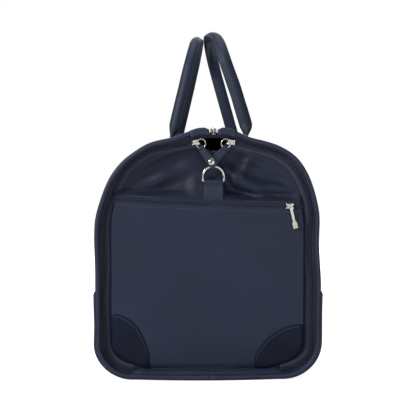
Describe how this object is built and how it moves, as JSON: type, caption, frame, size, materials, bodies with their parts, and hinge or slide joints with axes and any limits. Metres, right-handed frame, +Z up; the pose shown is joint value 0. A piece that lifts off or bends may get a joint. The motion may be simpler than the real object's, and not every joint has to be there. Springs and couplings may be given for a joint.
{
  "type": "garment bag",
  "caption": "Navy garment bag folded into a duffel: zipped end panels, side flaps that fold flat, top zip, two rolled handles, strap rings and a zipped end pocket.",
  "frame": {"origin": "centre of the base on the floor", "axes": "+Z up; +Y along the bag, away from the end with the pocket; +X to the right seen from that end"},
  "size_m": [0.286, 0.54, 0.4853],
  "materials": {
    "twill": "navy nylon twill with a satin sheen",
    "trim": "navy leather-look trim, fine grain",
    "cover": "navy leather-look base cover",
    "grip": "navy leather-look roll with a stitched seam",
    "tape": "dusky navy zip tape",
    "lining": "quilted navy lining",
    "webbing": "dark navy webbing",
    "buckle": "black moulded buckle",
    "board": "stiff black board",
    "filler": "foam cord",
    "nickel": "polished nickel"
  },
  "bodies": {
    "base": {"base_panel": "cover", "base_board": "board", "base_lining": "lining", "base_edge_binding": "trim", "base_zip_corners": "tape", "end_seam_strips": "twill"},
    "left_flap": {"left_shell": "twill", "left_lower_cover": "cover", "left_padded_lining": "lining", "left_edge_binding": "trim", "left_top_zip_half": "tape", "left_end_zip_halves": "tape", "left_zip_end_patches": "trim", "left_handle_tabs": "trim", "left_garment_strap": "webbing", "left_strap_buckle": "buckle"},
    "left_handle": {"left_handle_grip": "grip", "left_handle_core": "filler"},
    "right_flap": {"right_shell": "twill", "right_lower_cover": "cover", "right_padded_lining": "lining", "right_edge_binding": "trim", "right_top_zip_half": "tape", "right_end_zip_halves": "tape", "right_zip_end_patches": "trim", "right_handle_tabs": "trim", "right_hanger_tab": "webbing"},
    "right_handle": {"right_handle_grip": "grip", "right_handle_core": "filler"},
    "hanger_ring": {"hanger_ring": "nickel"},
    "top_zip_slider": {"top_zip_slider": "nickel"},
    "top_zip_pull": {"top_zip_pull": "nickel"},
    "front_end": {"front_panel": "twill", "front_zip_half": "tape", "front_corner_patches": "trim", "front_ring_tab": "trim", "front_pocket_panel": "twill", "front_pocket_zip": "tape"},
    "front_strap_ring": {"front_strap_ring": "nickel"},
    "front_left_slider": {"front_left_slider": "nickel"},
    "front_left_pull": {"front_left_pull": "trim", "front_left_pull_snap": "nickel"},
    "front_right_slider": {"front_right_slider": "nickel"},
    "front_right_pull": {"front_right_pull": "trim", "front_right_pull_snap": "nickel"},
    "rear_end": {"rear_panel": "twill", "rear_zip_half": "tape", "rear_corner_patches": "trim", "rear_ring_tab": "trim"},
    "rear_strap_ring": {"rear_strap_ring": "nickel"},
    "rear_left_slider": {"rear_left_slider": "nickel"},
    "rear_left_pull": {"rear_left_pull": "trim", "rear_left_pull_snap": "nickel"},
    "rear_right_slider": {"rear_right_slider": "nickel"},
    "rear_right_pull": {"rear_right_pull": "trim", "rear_right_pull_snap": "nickel"},
    "front_pocket_slider": {"front_pocket_slider": "nickel"},
    "front_pocket_pull": {"front_pocket_pull": "nickel"}
  },
  "joints": [
    {"name": "left_flap_fold", "type": "hinge", "parent": "base", "child": "left_flap", "pos_m": [-0.131, 0, 0.012], "axis": [0, -1, 0], "range_deg": [0, 90]},
    {"name": "left_handle_swing", "type": "hinge", "parent": "left_flap", "child": "left_handle", "pos_m": [-0.0535, 0, 0.30772], "axis": [0, -1, 0], "range_deg": [0, 95]},
    {"name": "right_flap_fold", "type": "hinge", "parent": "base", "child": "right_flap", "pos_m": [0.131, 0, 0.012], "axis": [0, 1, 0], "range_deg": [0, 90]},
    {"name": "right_handle_swing", "type": "hinge", "parent": "right_flap", "child": "right_handle", "pos_m": [0.0535, 0, 0.30772], "axis": [0, 1, 0], "range_deg": [0, 95]},
    {"name": "front_end_fold", "type": "hinge", "parent": "base", "child": "front_end", "pos_m": [0, -0.262, 0.012], "axis": [1, 0, 0], "range_deg": [0, 90]},
    {"name": "rear_end_fold", "type": "hinge", "parent": "base", "child": "rear_end", "pos_m": [0, 0.262, 0.012], "axis": [-1, 0, 0], "range_deg": [0, 90]},
    {"name": "top_zip_slide", "type": "slide", "parent": "right_flap", "child": "top_zip_slider", "axis": [0, 1, 0], "range_m": [0, 0.505]},
    {"name": "top_zip_pull_flip", "type": "hinge", "parent": "top_zip_slider", "child": "top_zip_pull", "pos_m": [0, -0.259, 0.31631], "axis": [1, 0, 0], "range_deg": [0, 165]},
    {"name": "hanger_ring_swing", "type": "hinge", "parent": "right_flap", "child": "hanger_ring", "pos_m": [0.06524, 0, 0.28915], "axis": [0, 1, 0], "range_deg": [-30, 40]},
    {"name": "front_strap_ring_swing", "type": "hinge", "parent": "front_end", "child": "front_strap_ring", "pos_m": [0, -0.2597, 0.251], "axis": [1, 0, 0], "range_deg": [0, 160]},
    {"name": "front_left_slider_travel", "type": "hinge", "parent": "front_end", "child": "front_left_slider", "pos_m": [0, -0.2572, 0.14251], "axis": [0, -1, 0], "range_deg": [0, 22]},
    {"name": "front_left_pull_lift", "type": "hinge", "parent": "front_left_slider", "child": "front_left_pull", "pos_m": [0, -0.2622, 0.29316], "axis": [-1, 0, 0], "range_deg": [0, 95]},
    {"name": "front_right_slider_travel", "type": "hinge", "parent": "front_end", "child": "front_right_slider", "pos_m": [0, -0.2572, 0.14251], "axis": [0, 1, 0], "range_deg": [0, 22]},
    {"name": "front_right_pull_lift", "type": "hinge", "parent": "front_right_slider", "child": "front_right_pull", "pos_m": [0, -0.2622, 0.29316], "axis": [-1, 0, 0], "range_deg": [0, 95]},
    {"name": "rear_strap_ring_swing", "type": "hinge", "parent": "rear_end", "child": "rear_strap_ring", "pos_m": [0, 0.2597, 0.251], "axis": [-1, 0, 0], "range_deg": [0, 160]},
    {"name": "rear_left_slider_travel", "type": "hinge", "parent": "rear_end", "child": "rear_left_slider", "pos_m": [0, 0.2572, 0.14251], "axis": [0, 1, 0], "range_deg": [0, 22]},
    {"name": "rear_left_pull_lift", "type": "hinge", "parent": "rear_left_slider", "child": "rear_left_pull", "pos_m": [0, 0.2622, 0.29316], "axis": [1, 0, 0], "range_deg": [0, 95]},
    {"name": "rear_right_slider_travel", "type": "hinge", "parent": "rear_end", "child": "rear_right_slider", "pos_m": [0, 0.2572, 0.14251], "axis": [0, -1, 0], "range_deg": [0, 22]},
    {"name": "rear_right_pull_lift", "type": "hinge", "parent": "rear_right_slider", "child": "rear_right_pull", "pos_m": [0, 0.2622, 0.29316], "axis": [1, 0, 0], "range_deg": [0, 95]},
    {"name": "front_pocket_slide", "type": "slide", "parent": "front_end", "child": "front_pocket_slider", "axis": [-0.9992, 0, 0.0401], "range_m": [0, 0.195]},
    {"name": "front_pocket_pull_lift", "type": "hinge", "parent": "front_pocket_slider", "child": "front_pocket_pull", "pos_m": [0.104, -0.2659, 0.21982], "axis": [-0.9992, 0, 0.0401], "range_deg": [0, 150]}
  ],
  "couplings": [
    {"joint": "front_right_pull_lift", "follows": "front_left_pull_lift", "ratio": 1},
    {"joint": "rear_right_pull_lift", "follows": "rear_left_pull_lift", "ratio": 1}
  ]
}
